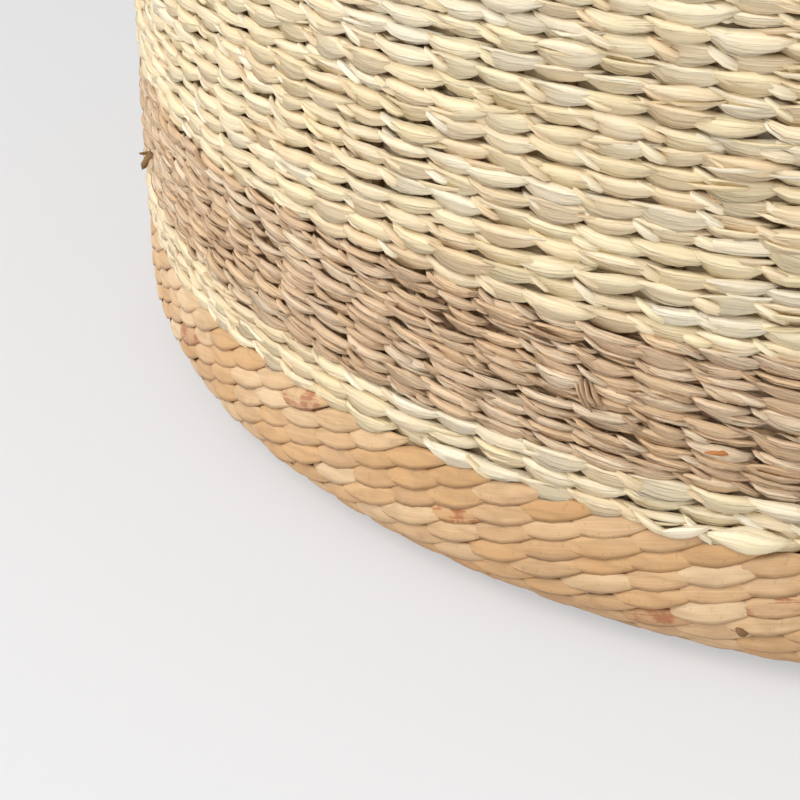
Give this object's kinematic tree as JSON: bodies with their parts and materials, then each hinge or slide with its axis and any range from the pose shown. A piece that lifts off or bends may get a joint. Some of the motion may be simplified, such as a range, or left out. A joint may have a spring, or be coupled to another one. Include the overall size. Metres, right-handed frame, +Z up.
{
  "type": "woven market basket",
  "caption": "Round open basket of twined leaf strands on upright stakes, with coloured bands, a wrapped rim and hinged carrying handles.",
  "frame": {"origin": "middle of the underside of the base, on the floor", "axes": "+Z up; the handles are at the front (-Y) and the back (+Y) and hinge about lines parallel to X"},
  "size_m": [0.407, 0.407, 0.4506],
  "materials": {
    "hyacinth": "dried water-hyacinth leaf, satin",
    "cream": "dried pale leaf strand, matt",
    "brown": "dried brown fibre strand, matt",
    "stake": "dried stalk, matt",
    "rim_strand": "dried leaf strand, wrapped",
    "handle_strand": "dried leaf strand, wrapped, worn smooth",
    "lashing": "twisted cord"
  },
  "bodies": {
    "basket": {"base_centre_disc": "hyacinth", "base_stakes": "stake", "base_added_stakes": "stake", "base_outer_weft": "hyacinth", "base_inner_weft": "hyacinth", "wall_stakes": "stake", "hyacinth_outer_weft": "hyacinth", "hyacinth_inner_weft": "hyacinth", "lower_cream_outer_weft": "cream", "lower_cream_inner_weft": "cream", "brown_outer_weft": "brown", "brown_inner_weft": "brown", "upper_cream_outer_weft": "cream", "upper_cream_inner_weft": "cream", "rim_course_outer_weft": "cream", "rim_course_inner_weft": "cream", "rim_hoop": "stake", "rim_wrap": "rim_strand"},
    "front_handle": {"front_handle_core": "stake", "front_handle_wrap": "handle_strand", "front_handle_left_eye": "handle_strand", "front_handle_right_eye": "handle_strand", "front_handle_left_lashing": "lashing", "front_handle_right_lashing": "lashing"},
    "back_handle": {"back_handle_core": "stake", "back_handle_wrap": "handle_strand", "back_handle_left_eye": "handle_strand", "back_handle_right_eye": "handle_strand", "back_handle_left_lashing": "lashing", "back_handle_right_lashing": "lashing"}
  },
  "joints": [
    {"name": "front_handle_hinge", "type": "hinge", "parent": "basket", "child": "front_handle", "pos_m": [0, -0.18076, 0.2945], "axis": [1, 0, 0], "range_deg": [-115, 115]},
    {"name": "back_handle_hinge", "type": "hinge", "parent": "basket", "child": "back_handle", "pos_m": [0, 0.18076, 0.2945], "axis": [-1, 0, 0], "range_deg": [-115, 115]}
  ]
}
